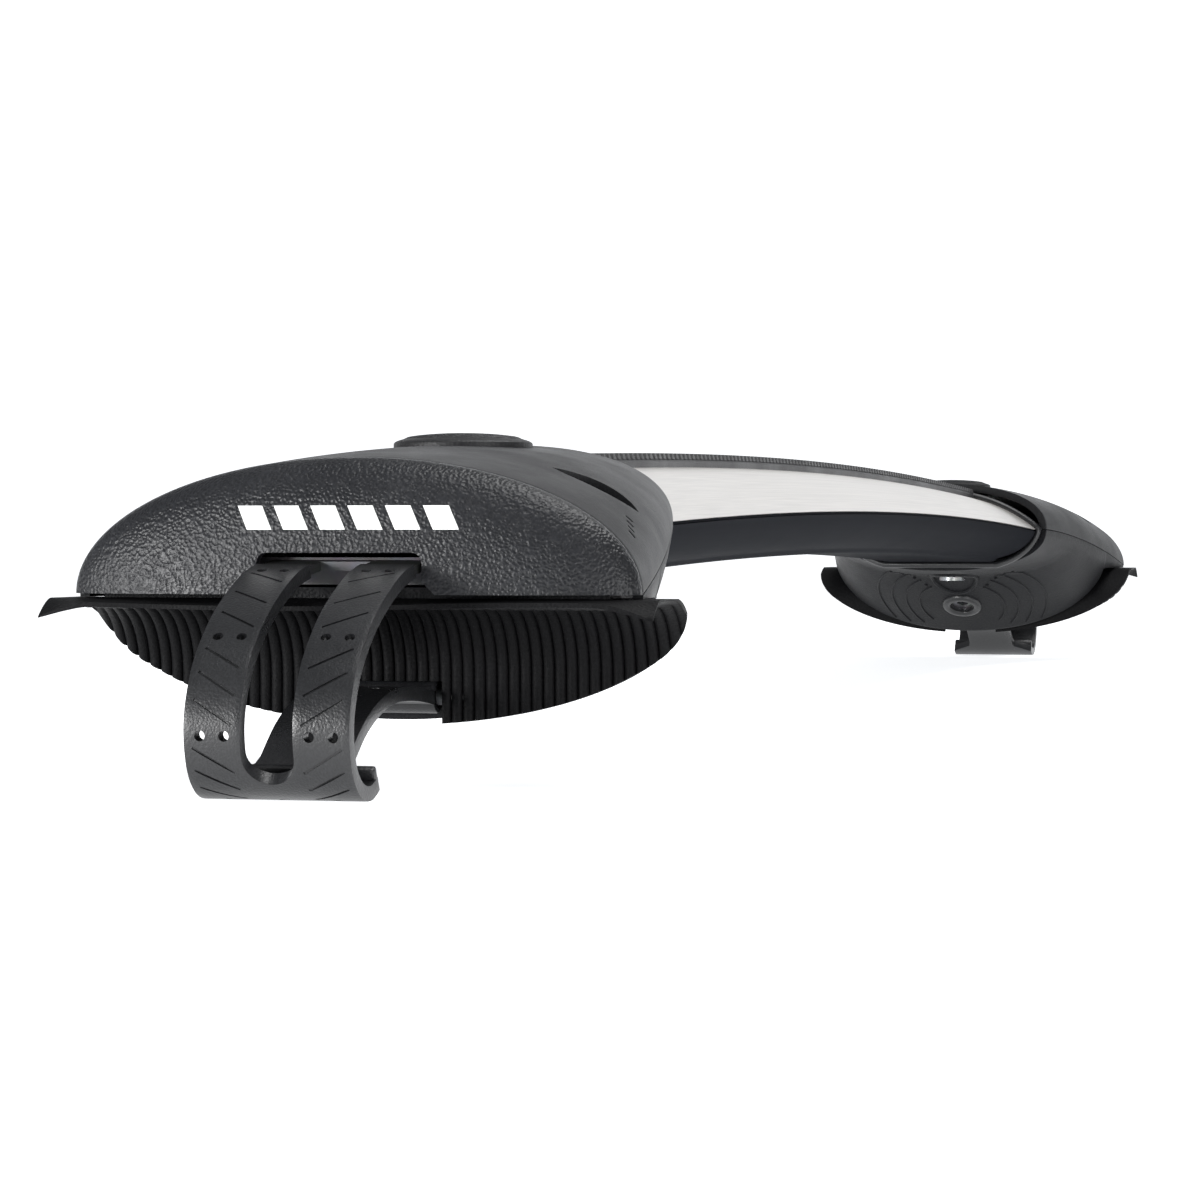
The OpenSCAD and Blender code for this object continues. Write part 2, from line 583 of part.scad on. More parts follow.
saddle_bolts();  // right_saddle_bolts
left() saddle_bolts();  // left_saddle_bolts
shell_screws();  // right_shell_screws
left() shell_screws();  // left_shell_screws
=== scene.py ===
import math

import bmesh
import bpy
from mathutils import Matrix, Vector


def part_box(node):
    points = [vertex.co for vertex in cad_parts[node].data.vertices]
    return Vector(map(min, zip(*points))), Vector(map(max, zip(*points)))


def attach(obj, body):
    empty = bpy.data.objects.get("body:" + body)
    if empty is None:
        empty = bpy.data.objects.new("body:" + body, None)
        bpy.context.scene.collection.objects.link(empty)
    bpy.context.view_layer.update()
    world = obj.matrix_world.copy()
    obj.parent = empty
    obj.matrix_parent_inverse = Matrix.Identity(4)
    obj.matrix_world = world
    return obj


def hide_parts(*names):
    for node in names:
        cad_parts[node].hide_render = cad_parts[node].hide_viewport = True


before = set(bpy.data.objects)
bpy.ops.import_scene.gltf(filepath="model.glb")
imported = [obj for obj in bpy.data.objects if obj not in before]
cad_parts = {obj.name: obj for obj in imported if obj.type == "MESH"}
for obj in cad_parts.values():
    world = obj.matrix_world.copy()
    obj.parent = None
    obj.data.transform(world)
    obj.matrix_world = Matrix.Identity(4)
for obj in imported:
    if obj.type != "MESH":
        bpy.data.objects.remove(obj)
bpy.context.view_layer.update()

MM = 0.001

# The bar: an arched wing section of extruded aluminium, anodised silver, with painted shade (a near-black,
# non-metallic colour) over its flanks below the crease.
# It is bent to a long arch, and both of its ends are bolted inside the feet.
ROOT = "bar_and_feet"
RIDGE_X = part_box("right_top_shell")[1][0]
COLLAR_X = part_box("right_top_shell")[0][0]
EDGE_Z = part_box("right_end_cover")[0][2]
ARCH_R = 11.58
CREASE_Z = EDGE_Z + 16.1 * MM
ARCH_Z = CREASE_Z - math.sqrt(ARCH_R ** 2 - COLLAR_X ** 2)
BAR_HALF = 41.5 * MM
CROWN = 15 * MM
CROWN_R = (BAR_HALF ** 2 + CROWN ** 2) / (2 * CROWN)
BAR_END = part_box("crossbar")[1][0]


def smooth_by_angle(bm, degrees):
    limit = math.radians(degrees)
    for face in bm.faces:
        face.smooth = True
    for edge in bm.edges:
        edge.smooth = len(edge.link_faces) == 2 and edge.calc_face_angle() < limit


def piece(name, bm, material, stands_for=(), body=ROOT, sharp=38):
    """Turns a bmesh into a piece with its material, and says what it rides on."""
    smooth_by_angle(bm, sharp)
    mesh = bpy.data.meshes.new(name)
    bm.to_mesh(mesh)
    bm.free()
    mesh.materials.append(material)
    ob = bpy.data.objects.new(name, mesh)
    bpy.context.scene.collection.objects.link(ob)
    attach(ob, body)
    if stands_for:
        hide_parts(*stands_for)
    return ob


def crown_z(y):
    return math.sqrt(CROWN_R ** 2 - y * y) - CROWN_R + CROWN


def bend(p0, p1, p2, n):
    """Points of a soft bend from p0 to p2, pulled towards p1."""
    return [tuple((1 - t) ** 2 * a + 2 * t * (1 - t) * b + t * t * c for a, b, c in zip(p0, p1, p2))
            for t in [i / n for i in range(n + 1)]]


def along_arch(bm, outline, x0, x1, steps, closed=True):
    """Draws an outline (y, height above the crease) at x0 and spins it along the arch to x1."""
    turn = math.asin(x0 / ARCH_R)
    verts = [bm.verts.new(((ARCH_R + z) * math.sin(turn), y, ARCH_Z + (ARCH_R + z) * math.cos(turn)))
             for y, z in outline]
    edges = [bm.edges.new(pair) for pair in zip(verts, verts[1:] + ([verts[0]] if closed else []))]
    bmesh.ops.spin(bm, geom=verts + edges, cent=(0, 0, ARCH_Z), axis=(0, 1, 0), dvec=(0, 0, 0),
                   angle=math.asin(x1 / ARCH_R) - turn, steps=steps)
    bmesh.ops.remove_doubles(bm, verts=bm.verts, dist=1e-7)


def close_ends(bm):
    rims = [e for e in bm.edges if len(e.link_faces) == 1]
    bmesh.ops.holes_fill(bm, edges=rims, sides=0)
    bmesh.ops.recalc_face_normals(bm, faces=bm.faces)


def node(tree, kind, **values):
    """Adds a shader node; values whose names are inputs are set there, the rest on the node."""
    new = tree.nodes.new(kind)
    for key, value in values.items():
        if key in new.inputs:
            new.inputs[key].default_value = value
        else:
            setattr(new, key, value)
    return new


def wire(tree, *pairs):
    for out, into in pairs:
        tree.links.new(out, into)


def effect(name, inputs, outputs):
    """Starts a node group that gives only colours, masks or heights."""
    tree = bpy.data.node_groups.new(name, "ShaderNodeTree")
    for label, kind, start in inputs:
        socket = tree.interface.new_socket(label, in_out="INPUT", socket_type=kind)
        if start is not None:
            socket.default_value = start
    for label, kind in outputs:
        tree.interface.new_socket(label, in_out="OUTPUT", socket_type=kind)
    return tree, tree.nodes.new("NodeGroupInput"), tree.nodes.new("NodeGroupOutput")


def make_drawn_metal():
    """Fine lines along an extrusion, with faint handling marks: colour shift, roughness and height."""
    tree, come, go = effect("drawn_metal", [("Base", "NodeSocketColor", (0.5, 0.5, 0.5, 1))],
                            [("Color", "NodeSocketColor"), ("Roughness", "NodeSocketFloat"),
                             ("Height", "NodeSocketFloat")])
    place = node(tree, "ShaderNodeTexCoord")
    stretch = node(tree, "ShaderNodeMapping", Scale=(6, 1500, 1500))
    lines = node(tree, "ShaderNodeTexNoise", Scale=1.0, Detail=3.0, Roughness=0.6)
    cloud = node(tree, "ShaderNodeTexNoise", Scale=14.0, Detail=4.0, Roughness=0.55)
    tint = node(tree, "ShaderNodeMix", data_type="RGBA", blend_type="MULTIPLY")
    tint.inputs["Factor"].default_value = 0.35
    ramp = node(tree, "ShaderNodeMapRange")
    ramp.inputs["To Min"].default_value = 0.27
    ramp.inputs["To Max"].default_value = 0.43
    blend = node(tree, "ShaderNodeMath", operation="ADD")
    half = node(tree, "ShaderNodeMath", operation="MULTIPLY")
    half.inputs[1].default_value = 0.5
    wire(tree, (place.outputs["Object"], stretch.inputs["Vector"]),
         (stretch.outputs["Vector"], lines.inputs["Vector"]),
         (place.outputs["Object"], cloud.inputs["Vector"]),
         (come.outputs["Base"], tint.inputs["A"]), (lines.outputs["Fac"], tint.inputs["B"]),
         (lines.outputs["Fac"], blend.inputs[0]), (cloud.outputs["Fac"], blend.inputs[1]),
         (blend.outputs[0], half.inputs[0]), (half.outputs[0], ramp.inputs["Value"]),
         (tint.outputs["Result"], go.inputs["Color"]), (ramp.outputs["Result"], go.inputs["Roughness"]),
         (lines.outputs["Fac"], go.inputs["Height"]))
    return tree


DRAWN_METAL = make_drawn_metal()


def start_material(name, **settings):
    """A new material with its shader, whose plain settings are put on the shader's own sockets."""
    mat = bpy.data.materials.new(name)
    mat.use_nodes = True
    tree = mat.node_tree
    shader = tree.nodes["Principled BSDF"]
    for key, value in settings.items():
        shader.inputs[key.replace("_", " ")].default_value = value
    return mat, tree, shader


def use_effect(tree, group, **values):
    new = tree.nodes.new("ShaderNodeGroup")
    new.node_tree = group
    for key, value in values.items():
        new.inputs[key.replace("_", " ")].default_value = value
    return new


def relief(tree, shader, height, distance, strength=1.0):
    bump = node(tree, "ShaderNodeBump", Strength=strength, Distance=distance)
    wire(tree, (height, bump.inputs["Height"]), (bump.outputs["Normal"], shader.inputs["Normal"]))


def make_bar_with_painted_shade():
    """Silver above the crease, painted shade below: near-black and not metallic, split by the bar's own
    painted_shade_split attribute.
    """
    mat, tree, shader = start_material("silver_bar_with_painted_shade", Specular_IOR_Level=0.05, IOR=1.03)
    painted_shade_split = node(tree, "ShaderNodeAttribute", attribute_name="painted_shade_split")
    silver = use_effect(tree, DRAWN_METAL, Base=(0.80, 0.775, 0.745, 1))
    # painted shade: near-black colour for the bar's underside below the crease
    painted_shade_tone = use_effect(tree, DRAWN_METAL, Base=(0.016, 0.017, 0.020, 1))
    pick = node(tree, "ShaderNodeMix", data_type="RGBA")
    metal = node(tree, "ShaderNodeMapRange")
    metal.inputs["To Min"].default_value = 0.0
    metal.inputs["To Max"].default_value = 0.8
    wire(tree, (painted_shade_split.outputs["Fac"], metal.inputs["Value"]),
         (metal.outputs["Result"], shader.inputs["Metallic"]),
         (painted_shade_split.outputs["Fac"], pick.inputs["Factor"]), (painted_shade_tone.outputs["Color"], pick.inputs["A"]),
         (silver.outputs["Color"], pick.inputs["B"]), (pick.outputs["Result"], shader.inputs["Base Color"]),
         (silver.outputs["Roughness"], shader.inputs["Roughness"]))
    relief(tree, shader, silver.outputs["Height"], 0.00002, 0.35)
    return mat


def make_crossbar():
    slot, lip, deep, wide = 5.5 * MM, 2.4 * MM, 9 * MM, 10 * MM
    top = crown_z(slot)
    crown = [(y, crown_z(y)) for y in [slot + (41.3 * MM - slot) * i / 22 for i in range(23)]]
    crease = [(41.35 * MM, 0.1 * MM), (40.5 * MM, -0.15 * MM), (40.5 * MM, -0.75 * MM),
              (41.25 * MM, -0.95 * MM)]
    flank = bend((41.0 * MM, -1.4 * MM), (38.0 * MM, -8.9 * MM), (26.2 * MM, -12.1 * MM), 12)
    under = bend((24.6 * MM, -12.6 * MM), (23.4 * MM, -14 * MM), (21.6 * MM, -14 * MM), 4)
    half = [(wide, top - deep), (wide, top - lip), (slot, top - lip)] + crown + crease + flank + under
    bm = bmesh.new()
    along_arch(bm, [(-y, z) for y, z in reversed(half)] + half, -BAR_END, BAR_END, 72)
    close_ends(bm)
    # painted shade split: points below the crease get the painted shade colour, points above it the silver
    painted_shade_split = bm.verts.layers.float.new("painted_shade_split")
    for vert in bm.verts:
        height = math.hypot(vert.co.x, vert.co.z - ARCH_Z) - ARCH_R
        vert[painted_shade_split] = 1.0 if height > 0 else 0.0
    return piece("crossbar_skin", bm, make_bar_with_painted_shade(), ["crossbar"])


make_crossbar()

# The strip: black rubber pressed into the bar's top slot, with slanted ribs that grip the load.
# Two rows of ribs lean opposite ways across a plain middle band.
STRIP_HALF = 14.6 * MM
STRIP_TOP = 17.4 * MM
STRIP_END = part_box("infill_strip")[1][0]


def make_grain():
    """Fine moulded grain: cells and noise at a chosen size, for colour, roughness and height."""
    tree, come, go = effect("moulded_grain", [
        ("Base", "NodeSocketColor", (0.03, 0.03, 0.03, 1)),
        ("Lighter", "NodeSocketColor", (0.06, 0.06, 0.06, 1)),
        ("Cells", "NodeSocketFloat", 1000.0), ("Smooth", "NodeSocketFloat", 0.35),
        ("Rough", "NodeSocketFloat", 0.6)],
        [("Color", "NodeSocketColor"), ("Roughness", "NodeSocketFloat"), ("Height", "NodeSocketFloat")])
    place = node(tree, "ShaderNodeTexCoord")
    warp = node(tree, "ShaderNodeTexNoise", Scale=420.0, Detail=2.0)
    push = node(tree, "ShaderNodeVectorMath", operation="MULTIPLY_ADD")
    push.inputs[1].default_value = (0.0009, 0.0009, 0.0009)
    cells = node(tree, "ShaderNodeTexVoronoi", feature="SMOOTH_F1", Smoothness=0.45)
    cloud = node(tree, "ShaderNodeTexNoise", Scale=35.0, Detail=5.0, Roughness=0.6)
    speck = node(tree, "ShaderNodeTexNoise", Scale=2400.0, Detail=2.0)
    height = node(tree, "ShaderNodeMath", operation="MULTIPLY_ADD")
    height.inputs[1].default_value = 0.3
    mix = node(tree, "ShaderNodeMix", data_type="RGBA")
    tone = node(tree, "ShaderNodeMath", operation="MULTIPLY")
    span = node(tree, "ShaderNodeMapRange")
    span.inputs["From Min"].default_value = 0.3
    span.inputs["From Max"].default_value = 0.7
    wire(tree, (place.outputs["Object"], warp.inputs["Vector"]), (warp.outputs["Color"], push.inputs[0]),
         (place.outputs["Object"], push.inputs[2]), (push.outputs["Vector"], cells.inputs["Vector"]),
         (come.outputs["Cells"], cells.inputs["Scale"]), (place.outputs["Object"], cloud.inputs["Vector"]),
         (place.outputs["Object"], speck.inputs["Vector"]), (speck.outputs["Fac"], height.inputs[0]),
         (cells.outputs["Distance"], height.inputs[2]), (cells.outputs["Distance"], tone.inputs[0]),
         (cloud.outputs["Fac"], tone.inputs[1]), (tone.outputs[0], mix.inputs["Factor"]),
         (come.outputs["Base"], mix.inputs["A"]), (come.outputs["Lighter"], mix.inputs["B"]),
         (cloud.outputs["Fac"], span.inputs["Value"]), (come.outputs["Smooth"], span.inputs["To Min"]),
         (come.outputs["Rough"], span.inputs["To Max"]), (mix.outputs["Result"], go.inputs["Color"]),
         (span.outputs["Result"], go.inputs["Roughness"]), (height.outputs[0], go.inputs["Height"]))
    return tree


GRAIN = make_grain()


def moulded(name, base, lighter, cells, smooth, rough, depth, **settings):
    """Moulded plastic or rubber with a grain of the given cell count per metre and depth."""
    mat, tree, shader = start_material(name, **settings)
    grain = use_effect(tree, GRAIN, Base=(*base, 1), Lighter=(*lighter, 1), Cells=cells, Smooth=smooth,
                       Rough=rough)
    wire(tree, (grain.outputs["Color"], shader.inputs["Base Color"]),
         (grain.outputs["Roughness"], shader.inputs["Roughness"]))
    relief(tree, shader, grain.outputs["Height"], depth)
    return mat


def on_arch(x, y, height):
    """The place at a station of the arch, a height above the crease."""
    turn = math.asin(x / ARCH_R)
    return Vector(((ARCH_R + height) * math.sin(turn), y, ARCH_Z + (ARCH_R + height) * math.cos(turn)))


def make_strip():
    bm = bmesh.new()
    edge = crown_z(STRIP_HALF)
    low = STRIP_TOP - 1.5 * MM
    half = [(0.0, low), (3.0 * MM, low), (STRIP_HALF - 1.0 * MM, low), (STRIP_HALF, low - 1.0 * MM),
            (STRIP_HALF, edge - 0.2 * MM)]
    outline = [(-y, z) for y, z in reversed(half[1:])] + half
    along_arch(bm, outline, -STRIP_END, STRIP_END, 60)
    close_ends(bm)
    pitch, rib, lean = 5.2 * MM, 1.5 * MM, 6.0 * MM
    count = int(2 * (STRIP_END - lean) / pitch)
    for side in (-1, 1):
        for i in range(count):
            x = -STRIP_END + lean / 2 + (i + 0.5) * pitch
            corners = []
            for dx, dz in ((-rib, 0), (rib, 0), (rib * 0.55, 1), (-rib * 0.55, 1)):
                for far in (0, 1):
                    yy = side * (2.0 * MM + far * (STRIP_HALF - 2.4 * MM - dz * 0.35 * MM))
                    xx = x + dx + (far - 0.5) * lean
                    corners.append(bm.verts.new(on_arch(xx, yy, low - 0.1 * MM + dz * 1.58 * MM)))
            a0, a1, b0, b1, c0, c1, d0, d1 = corners
            for loop in ((a0, a1, b1, b0), (b0, b1, c1, c0), (c0, c1, d1, d0), (d0, d1, a1, a0),
                         (a0, b0, c0, d0), (a1, d1, c1, b1)):
                bm.faces.new(loop)
    bmesh.ops.recalc_face_normals(bm, faces=bm.faces)
    rubber = moulded("strip_rubber", (0.018, 0.018, 0.019), (0.05, 0.05, 0.052), 1400, 0.42, 0.62, 0.00006)
    return piece("infill_strip_ribbed", bm, rubber, ["infill_strip"], sharp=25)


make_strip()

# The upper shell of each foot: charcoal moulded plastic, screwed to the casting below it.
# It runs from the collar round the bar out to the ridge, with a lens-shaped opening over each lock seat.
SIDES = {"right": 1, "left": -1}
FOOT = RIDGE_X - COLLAR_X
COLLAR_HALF, RIDGE_HALF = 45.65 * MM, 66 * MM
COLLAR_TOP, RIDGE_TOP = 35.9 * MM, 30.5 * MM
SKIRT, SKIRT_U, SLOPE = 29.5 * MM, 33.5 * MM, math.tan(math.radians(30))
LOCK_S, LOCK_Y, LOCK_TILT = 1 - 37 * MM / FOOT, 46 * MM, math.radians(26)


def mix(a, b, k):
    return a + (b - a) * k


def half_width(s):
    return mix(COLLAR_HALF, RIDGE_HALF, (s + math.sin(math.pi / 2 * s)) / 2)


def seam_z(s):
    return 16.1 * MM * (1 - max(s, 0) ** 1.4)


def top_z(s):
    return COLLAR_TOP - (COLLAR_TOP - RIDGE_TOP) * max(s, 0) ** 1.6


def low_z(s):
    u = FOOT * (1 - s)
    return -max(1.6 * MM + (FOOT - u) / 12, SKIRT - SLOPE * max(0.0, u - SKIRT_U))


def foot_point(side, s, turn, sunk=0.0):
    """A place on the foot's skin: s runs from collar to ridge, turn round the section."""
    e = mix(0.87, 1.0, s)
    c, n = math.cos(turn), math.sin(turn)
    rise = top_z(s) - seam_z(s) if n > 0 else seam_z(s) - low_z(s)
    y = (half_width(s) - sunk) * math.copysign(abs(c) ** e, c)
    z = seam_z(s) + (rise - sunk) * math.copysign(abs(n) ** e, n)
    return Vector((side * (RIDGE_X - FOOT * (1 - s)), y, EDGE_Z + z))


def patch(nx, ny, place):
    """A grid of nx by ny cells whose corners go where place(across, along) says, each from 0 to 1."""
    bm = bmesh.new()
    bmesh.ops.create_grid(bm, x_segments=nx, y_segments=ny, size=0.5)
    for vert in bm.verts:
        vert.co = place(vert.co.x + 0.5, vert.co.y + 0.5)
    return bm


def thicken(bm, wall, inside):
    """Gives a sheet a wall on the side of the point inside."""
    bmesh.ops.recalc_face_normals(bm, faces=bm.faces)
    face = max(bm.faces, key=lambda f: f.calc_area())
    if face.normal.dot(face.calc_center_median() - inside) < 0:
        bmesh.ops.reverse_faces(bm, faces=bm.faces)
    bmesh.ops.solidify(bm, geom=bm.faces, thickness=wall)
    bmesh.ops.recalc_face_normals(bm, faces=bm.faces)


def as_object(bm, name):
    mesh = bpy.data.meshes.new(name)
    bm.to_mesh(mesh)
    bm.free()
    ob = bpy.data.objects.new(name, mesh)
    bpy.context.scene.collection.objects.link(ob)
    return ob


def carve(bm, cutter, keep_inside=False):
    """Cuts one closed mesh with another and returns the result."""
    body, tool = as_object(bm, "uncut"), as_object(cutter, "cutter")
    cut = body.modifiers.new("cut", "BOOLEAN")
    cut.object = tool
    cut.operation = "INTERSECT" if keep_inside else "DIFFERENCE"
    cut.solver = "EXACT"
    view = bpy.context.evaluated_depsgraph_get()
    done = bmesh.new()
    done.from_mesh(body.evaluated_get(view).to_mesh())
    for ob in (body, tool):
        bpy.data.meshes.remove(ob.data)
    bmesh.ops.remove_doubles(done, verts=done.verts, dist=2e-6)
    return done


def soften(bm, width, degrees=50, rounds=2):
    """Rounds the sharp edges of a closed mesh."""
    limit = math.radians(degrees)
    sharp = [e for e in bm.edges if len(e.link_faces) == 2 and e.calc_face_angle() > limit]
    bmesh.ops.bevel(bm, geom=sharp, offset=width, offset_type="OFFSET", segments=rounds, profile=0.5,
                    affect="EDGES", clamp_overlap=True, material=-1)


def block(bm, size, place):
    """Adds a box of this size; place turns and moves it."""
    made = bmesh.ops.create_cube(bm, size=1.0, matrix=place @ Matrix.Diagonal((*size, 1)))
    return made["verts"]


def peg(bm, radius, depth, place, sides=32, tip=None):
    made = bmesh.ops.create_cone(bm, cap_ends=True, segments=sides, radius1=radius,
                                 radius2=radius if tip is None else tip, depth=depth, matrix=place)
    return made["verts"]


def prism(bm, points, place, depth):
    """Adds a flat outline (x, y), made solid along z on both sides of its plane."""
    face = bm.faces.new([bm.verts.new(place @ Vector((x, y, -depth / 2))) for x, y in points])
    made = bmesh.ops.extrude_face_region(bm, geom=[face])
    lift = place.to_3x3() @ Vector((0, 0, depth))
    bmesh.ops.translate(bm, verts=[v for v in made["geom"] if isinstance(v, bmesh.types.BMVert)], vec=lift)
    bmesh.ops.recalc_face_normals(bm, faces=bm.faces)


def lock_place(side, k):
    """A frame on the shell over the lock (k = -1, front) or its blank (k = 1), with z outwards."""
    rise = top_z(LOCK_S) - seam_z(LOCK_S)
    z = seam_z(LOCK_S) + rise * math.sqrt(1 - (LOCK_Y / half_width(LOCK_S)) ** 2)
    at = Vector((side * (RIDGE_X - FOOT * (1 - LOCK_S)), k * LOCK_Y, EDGE_Z + z))
    return Matrix.Translation(at) @ Matrix.Rotation(-k * LOCK_TILT, 4, "X")


def lens_outline(half_long, half_wide, n=14):
    """Points of a lens: two equal arcs that meet at both ends, long along y."""
    radius = (half_long ** 2 + half_wide ** 2) / (2 * half_wide)
    sweep = math.asin(half_long / radius)
    right = [(radius * math.cos(a) - radius + half_wide, radius * math.sin(a))
             for a in [sweep * (2 * i / n - 1) for i in range(n)]]
    return right + [(-x, -y) for x, y in right]


SHELL_PLASTIC = moulded("shell_plastic", (0.008, 0.0083, 0.009), (0.027, 0.0275, 0.030), 2100, 0.36, 0.52,
                        0.00006, Specular_IOR_Level=0.16)


def make_top_shell(word, side):
    bm = patch(150, 60, lambda a, s: foot_point(side, s, math.pi * mix(0.0015, 0.9985, a)))
    thicken(bm, 3 * MM, Vector((side * (RIDGE_X - FOOT / 2), 0, EDGE_Z)))
    cutter = bmesh.new()
    for k in (-1, 1):
        prism(cutter, lens_outline(11.5 * MM, 5.6 * MM), lock_place(side, k), 16 * MM)
        for i in range(4):
            s = 0.8 + 0.028 * i
            at = foot_point(side, s, math.pi / 2 + k * math.radians(64 + 1.5 * i))
            turn = Matrix.Rotation(-k * math.radians(40), 4, "X")
            block(cutter, (1.0 * MM, 7.5 * MM - i * 0.9 * MM, 2.2 * MM), Matrix.Translation(at) @ turn)
    bm = carve(bm, cutter)
    soften(bm, 0.45 * MM)
    piece(f"{word}_top_shell_skin", bm, SHELL_PLASTIC, [f"{word}_top_shell"])


for word, side in SIDES.items():
    make_top_shell(word, side)

# The end cover of each foot: black plastic with a coarse leather grain, that clips over the strap's hooks.
# It bulges past the ridge and has a window at its foot, where the strap comes out.
COVER_OUT = 12 * MM
WINDOW = 19.1 * MM
WINDOW_TOP = 9.2 * MM


def cover_point(side, out, turn, sunk=0.0):
    """A place on the cover's face: out runs from ridge to the middle, turn over the arch."""
    shrink = max(0.0, 1 - out ** 2.5) ** 0.4
    y = (RIDGE_HALF - sunk) * shrink * math.cos(turn)
    z = (RIDGE_TOP - sunk) * shrink * math.sin(turn)
    return Vector((side * (RIDGE_X + (COVER_OUT - sunk) * out), y, EDGE_Z + z))


COVER_PLASTIC = moulded("cover_plastic", (0.006, 0.0063, 0.0075), (0.026, 0.027, 0.031), 1250, 0.28, 0.44,
                        0.00022, Specular_IOR_Level=0.32)


def make_cover(word, side):
    bm = patch(150, 36, lambda a, k: cover_point(side, 0.03 + 0.965 * math.sin(math.pi / 2 * k) ** 1.15,
                                                 math.pi * mix(-0.02, 1.02, a)))
    thicken(bm, 2.6 * MM, Vector((side * RIDGE_X, 0, EDGE_Z)))
    cutter = bmesh.new()
    r = 2.2 * MM
    corner = [(WINDOW - r + r * math.cos(a), WINDOW_TOP - r + r * math.sin(a))
              for a in [math.pi / 8 * i for i in range(5)]]
    half = [(WINDOW + 5 * MM, -2 * MM), (WINDOW, 3 * MM)] + corner
    to_side = Matrix.Translation((side * (RIDGE_X + 9 * MM), 0, EDGE_Z)) @ Matrix(
        ((0, 0, 1, 0), (1, 0, 0, 0), (0, 1, 0, 0), (0, 0, 0, 1)))
    prism(cutter, half + [(-x, y) for x, y in reversed(half)], to_side, 26 * MM)
    bm = carve(bm, cutter)
    below = bmesh.new()
    block(below, (60 * MM, 300 * MM, 20 * MM), Matrix.Translation((side * RIDGE_X, 0, EDGE_Z - 10 * MM)))
    bm = carve(bm, below)
    soften(bm, 0.4 * MM)
    piece(f"{word}_end_cover_skin", bm, COVER_PLASTIC, [f"{word}_end_cover"],
          f"{word}_cover")


for word, side in SIDES.items():
    make_cover(word, side)

# A plain mark on each cover: slanted white bars, pad-printed a little proud of the grain.
# They stand for nothing and carry no name.
def add_copy(bm, other):
    mesh = bpy.data.meshes.new("copy")
    other.to_mesh(mesh)
    other.free()
    bm.from_mesh(mesh)
    bpy.data.meshes.remove(mesh)


def make_mark(word, side):
    bm = bmesh.new()
    low, high, count, pitch = 14.3 * MM, 19.6 * MM, 6, 8.6 * MM
    for i in range(count):
        middle = (i - (count - 1) / 2) * pitch - 1.6 * MM

        def on_face(a, k):
            z = mix(low, high, k)
            y = -side * (middle + mix(-2.9 * MM, 2.9 * MM, a) + (k - 0.5) * 2.6 * MM)
            reach = (y / RIDGE_HALF) ** 2 + (z / RIDGE_TOP) ** 2
            out = (1 - reach ** 1.25) ** 0.4
            return Vector((side * (RIDGE_X + COVER_OUT * out + 0.12 * MM), y, EDGE_Z + z))

        bar = patch(8, 8, on_face)
        thicken(bar, 0.35 * MM, Vector((side * RIDGE_X, 0, EDGE_Z)))
        add_copy(bm, bar)
    ink = moulded(f"white_print_{word}", (0.80, 0.80, 0.79), (0.90, 0.90, 0.89), 900, 0.35, 0.5, 0.00003)
    piece(f"{word}_cover_mark", bm, ink, [f"{word}_cover_badge"], f"{word}_cover")


for word, side in SIDES.items():
    make_mark(word, side)

# The casting under each foot: black moulded plastic, with the collar's lower half and the sloping skirt.
# The clamp screw's ring sits in its slope, and the strap's tongue enters a notch at its lower edge.
SCREW_U = 54 * MM
NOTCH, NOTCH_TALL = 23.2 * MM, 20 * MM
CASTING_S = 1 - SKIRT_U / FOOT
BLACK_PLASTIC = moulded("black_plastic", (0.006, 0.0063, 0.007), (0.022, 0.0225, 0.025), 1700, 0.34, 0.52,
                        0.0001, Specular_IOR_Level=0.08)


def screw_place(side):
    """A frame where the clamp screw leaves the slope, with z outwards along the screw."""
    at = Vector((side * (RIDGE_X - SCREW_U), 0, EDGE_Z - SKIRT + SLOPE * (SCREW_U - SKIRT_U)))
    return Matrix.Translation(at) @ Matrix.Rotation(side * math.radians(180 + 30), 4, "Y")


def skin_at(side, u, y):
    """A place on the underside of the casting, at a distance in from the ridge and across."""
    s = 1 - u / FOOT
    e = mix(0.87, 1.0, s)
    c = min(1.0, abs(y) / half_width(s)) ** (1 / e)
    z = seam_z(s) - (seam_z(s) - low_z(s)) * math.sqrt(1 - c * c) ** e
    return Vector((side * (RIDGE_X - u), y, EDGE_Z + z))


def add_rib(bm, path, radius, lean=(0, 0, 1), closed=False, sides=8):
    """A round raised line along a path; the path's own direction never points along lean."""
    rows = []
    last = len(path) - 1
    for i, at in enumerate(path):
        if closed:
            before, after = path[i - 1], path[(i + 1) % len(path)]
        else:
            before, after = path[max(i - 1, 0)], path[min(i + 1, last)]
        ahead = (after - before).normalized()
        aside = ahead.cross(Vector(lean)).normalized()
        over = aside.cross(ahead)
        rows.append([bm.verts.new(at + radius * (math.cos(a) * aside + math.sin(a) * over))
                     for a in [math.tau * k / sides for k in range(sides)]])
    pairs = list(zip(rows, rows[1:] + rows[:1])) if closed else list(zip(rows, rows[1:]))
    for one, two in pairs:
        for k in range(sides):
            bm.faces.new((one[k], one[(k + 1) % sides], two[(k + 1) % sides], two[k]))
    if not closed:
        bm.faces.new(rows[0])
        bm.faces.new(rows[-1])
    bmesh.ops.recalc_face_normals(bm, faces=bm.faces)


